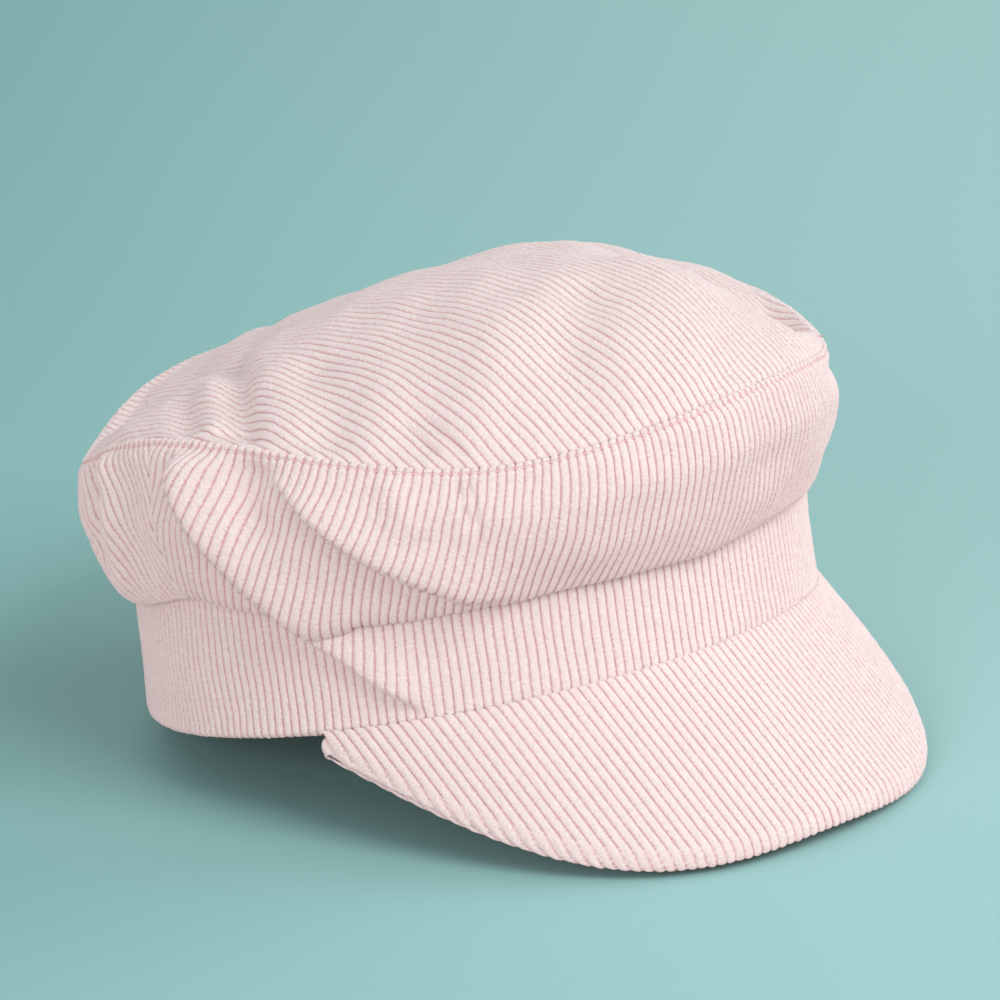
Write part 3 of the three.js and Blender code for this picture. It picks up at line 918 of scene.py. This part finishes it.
def blended(node, factor, *colours):
    """A colour between two, each one a tuple or a socket."""
    first, second = ((*c, 1) if isinstance(c, tuple) else c for c in colours)
    return node("Mix", {"data_type": "RGBA"}, i0=factor, i6=first, i7=second).outputs[2]


def eased(node, value, low, high):
    """Eases from 0 at low to 1 at high."""
    settings = {"interpolation_type": "SMOOTHSTEP"}
    return node("MapRange", settings, Value=value, i1=low, i2=high).outputs[0]


def arithmetic(node, operation, *values):
    """A sum on numbers and sockets, by Blender's name for it."""
    inputs = {f"i{k}": value for k, value in enumerate(values)}
    return node("Math", {"operation": operation}, **inputs).outputs[0]


RIDGE_LIGHT = (0.92, 0.84, 0.838)
RIDGE_DARK = (0.85, 0.73, 0.728)
# Groove colour: the cloth's deeper pink with painted shade of the grooves mixed in.
GROOVE_PINK_AND_SHADE = (0.75, 0.46, 0.47)
FUZZ_SCALE = 1150.0  # a noise scale counts its features to the metre
MOTTLE_SCALE = 120.0
BEADS = 5.6  # radians of the pile's beading to a mm along a wale


def corduroy_look():
    """Pale pink pile on the wales, a deeper pink with painted shade in the grooves, and fine fuzz."""
    look, tree, surface, node = shader("corduroy", 0.95, 0.35)
    spot = node("TexCoord").outputs["Object"]
    pile = node("Attribute", {"attribute_name": "pile"}).outputs["Fac"]
    cloth_spot = node("Attribute", {"attribute_name": "cloth"}).outputs["Vector"]
    along = node("SeparateXYZ", Vector=cloth_spot).outputs["Y"]
    fuzz = node("MapRange", Value=noise(node, spot, FUZZ_SCALE, 4.0), i1=0.34, i2=0.66).outputs[0]
    mottle = noise(node, spot, MOTTLE_SCALE)

    bead = arithmetic(node, "SINE", arithmetic(node, "MULTIPLY", along, BEADS))
    lifted = arithmetic(node, "MULTIPLY_ADD", fuzz, 0.36, -0.18)
    beaded = arithmetic(node, "MULTIPLY_ADD", bead, 0.05, lifted)
    raised = arithmetic(node, "ADD", pile, beaded)
    on_top = eased(node, raised, 0.12, 0.78)

    grain = node("Mix", {"data_type": "FLOAT"}, i0=0.3, i2=fuzz, i3=mottle).outputs[0]
    ridge = blended(node, grain, RIDGE_DARK, RIDGE_LIGHT)
    # The grooves take the deeper pink with painted groove shade, mixed in by the pile's height.
    tree.links.new(blended(node, on_top, GROOVE_PINK_AND_SHADE, ridge), surface.inputs["Base Color"])
    surface.inputs["Sheen Tint"].default_value = (1.0, 0.93, 0.93, 1)
    bump = node("Bump", Strength=0.8, Distance=0.0003, Height=fuzz)
    tree.links.new(bump.outputs[0], surface.inputs["Normal"])
    return look


def weave_look(name, colour, deep, roughness=0.85, scale=1500.0):
    """Plain cloth, paper or thread: a fine fibre grain over one colour."""
    look, tree, surface, node = shader(name, roughness, 0.1)
    grain = noise(node, node("TexCoord").outputs["Object"], scale, 2.0)
    tree.links.new(blended(node, grain, deep, colour), surface.inputs["Base Color"])
    bump = node("Bump", Strength=0.3, Distance=0.0001, Height=grain)
    tree.links.new(bump.outputs[0], surface.inputs["Normal"])
    return look


CORDUROY = corduroy_look()
LINING = weave_look("lining", (0.80, 0.62, 0.62), (0.70, 0.50, 0.51))
INTERFACING = weave_look("interfacing", (0.80, 0.79, 0.75), (0.70, 0.69, 0.66), scale=600.0)
BOARD = weave_look("board", (0.78, 0.78, 0.76), (0.72, 0.72, 0.70), 0.6, 300.0)
# Thread in a deeper pink than the pile: partly its own colour and partly painted shade of the stitch holes.
THREAD = weave_look("thread", (0.82, 0.56, 0.57), (0.72, 0.44, 0.46), scale=3000.0)
LABEL = weave_look("label", (0.88, 0.87, 0.85), (0.80, 0.79, 0.77))

# ---------- the pieces, each riding on its body ----------
PANEL_LAP = 0.003  # the panels' edges meet in the seam with this much to spare, in radians
PANELS = [(0.0, SIDE_SEAM + PANEL_LAP), (math.pi, math.pi - SIDE_SEAM + PANEL_LAP)]


def dress(piece, node, look, body=None):
    """Gives a piece its look and hides the CAD node that it stands in for; it rides on a body, or else has its
    placement baked into its mesh.
    """
    piece.data.materials.append(look)
    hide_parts(node)
    if body:
        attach(piece, body)
    else:
        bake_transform(piece)


dress(band(), "band_outer", CORDUROY)
dress(interfacing(), "band_interfacing", INTERFACING)
dress(sweatband(), "sweatband", LINING)
dress(sweatband_stitch(), "sweatband_stitch", THREAD)
dress(label(), "size_label", LABEL, "cap")
dress(side_panel("side_front_cloth", *PANELS[0], 81), "side_panel_front", CORDUROY)
dress(side_panel("side_back_cloth", *PANELS[1], 82), "side_panel_back", CORDUROY, "cap")
dress(crown_tip(), "crown_tip", CORDUROY, "cap")
dress(topstitch(), "crown_topstitch", THREAD, "cap")
dress(side_lining("side_front_lining", *PANELS[0], 91), "lining_side_front", LINING)
dress(side_lining("side_back_lining", *PANELS[1], 92), "lining_side_back", LINING, "cap")
dress(tip_lining(), "lining_tip", LINING, "cap")
dress(visor_top(), "visor_top", CORDUROY)
dress(visor_under(), "visor_under", CORDUROY)

board = frame["nodes"]["visor_board"]
board.data.materials.clear()
board.data.materials.append(BOARD)


# ---------- floor, light and camera ----------
FLOOR_SIZE = 6.0  # half its width, in metres
FLOOR_SHADED = (0.16, 0.41, 0.40)
FLOOR_LIT = (0.35, 0.62, 0.62)
FLOOR_BOUNCE = (0.60, 0.53, 0.52)  # what the floor sends up on to the cap, so that pink cloth stays pink

VIEW_AZIMUTH = math.radians(-40.54)
VIEW_ELEVATION = math.radians(19.35)
VIEW_ROLL = math.radians(-2.7)
VIEW_DISTANCE = 1.614
VIEW_SHIFT = (0.0043, 0.0397)
VIEW_LENS = 209.2

VIEW_RIGHT = (0.76, -0.65, 0)  # to the camera's right, level

# Each light's name, where it hangs, where it points, its width, its power and its colour.
KEY_COLOUR = (1.0, 0.965, 0.95)
SIDE_COLOUR = (1.0, 0.97, 0.96)
LIGHTS = [
    ("key", (0.2, -2.0, 2.0), (0, 0, 0.06), 1.7, 40, KEY_COLOUR),
    ("side", (2.4, -0.9, 1.1), (0, 0, 0.06), 1.6, 30, SIDE_COLOUR),
    ("fill", (-2.5, -0.9, 0.9), (0, 0, 0.03), 1.3, 24, SIDE_COLOUR),
]
WORLD_COLOUR = (1.0, 0.965, 0.96)
WORLD_STRENGTH = 0.5


def floor():
    """A wide pale floor, that reaches past everything the camera sees, with painted shade that darkens it to
    the camera's left.
    """
    s = FLOOR_SIZE
    mesh = bpy.data.meshes.new("floor")
    mesh.from_pydata([(-s, -s, 0), (s, -s, 0), (s, s, 0), (-s, s, 0)], [], [(0, 1, 2, 3)])
    sheet = bpy.data.objects.new("floor", mesh)
    bpy.context.scene.collection.objects.link(sheet)
    look, tree, surface, node = shader("floor", 0.7)
    mesh.materials.append(look)
    spot = node("TexCoord").outputs["Object"]
    aside = node("VectorMath", {"operation": "DOT_PRODUCT"}, i0=spot, i1=VIEW_RIGHT).outputs["Value"]
    # Painted light: the floor's seen colour runs from painted shade on the camera's left to lit on its right.
    lit = eased(node, aside, -0.55, 0.25)
    seen = blended(node, lit, FLOOR_SHADED, FLOOR_LIT)
    direct = node("LightPath").outputs["Is Camera Ray"]
    tree.links.new(blended(node, direct, FLOOR_BOUNCE, seen), surface.inputs["Base Color"])


def facing(right, up, back, spot):
    """Placement of a light or camera at a spot, from the directions of its own axes."""
    turn = Matrix(np.stack([right, up, back], 1).tolist())
    return Matrix.Translation(spot) @ turn.to_4x4()


def area_light(name, at, aim, size, power, colour):
    """A square light at one spot that points at another."""
    lamp = bpy.data.lights.new(name, "AREA")
    lamp.size = size
    lamp.energy = power
    lamp.color = colour
    back = unit(np.array(at, float) - np.array(aim, float))
    right = unit(np.cross([0, 0, 1.0], back))
    holder = bpy.data.objects.new(name, lamp)
    holder.matrix_world = facing(right, np.cross(back, right), back, at)
    bpy.context.scene.collection.objects.link(holder)


def world(colour, strength):
    space = bpy.data.worlds.new("world")
    space.use_nodes = True
    backdrop = space.node_tree.nodes["Background"]
    backdrop.inputs["Color"].default_value = (*colour, 1)
    backdrop.inputs["Strength"].default_value = strength
    bpy.context.scene.world = space


def camera():
    """Looks at the cap from the front and its right side, a little above, and leans by a small roll."""
    a, e = VIEW_AZIMUTH, VIEW_ELEVATION
    back = np.array([math.sin(a) * math.cos(e), -math.cos(a) * math.cos(e), math.sin(e)])
    level_right = np.array([math.cos(a), math.sin(a), 0])
    level_up = np.cross(back, level_right)
    right = level_right * math.cos(VIEW_ROLL) + level_up * math.sin(VIEW_ROLL)
    up = level_up * math.cos(VIEW_ROLL) - level_right * math.sin(VIEW_ROLL)
    spot = ORIGIN / 1000 + right * VIEW_SHIFT[0] + up * VIEW_SHIFT[1] + back * VIEW_DISTANCE
    lens = bpy.data.cameras.new("camera")
    lens.lens = VIEW_LENS
    lens.sensor_width = 36.0
    holder = bpy.data.objects.new("camera", lens)
    holder.matrix_world = facing(right, up, back, spot.tolist())
    bpy.context.scene.collection.objects.link(holder)
    bpy.context.scene.camera = holder


floor()
for light in LIGHTS:
    area_light(*light)
world(WORLD_COLOUR, WORLD_STRENGTH)
camera()
bpy.context.scene.view_settings.view_transform = "Standard"
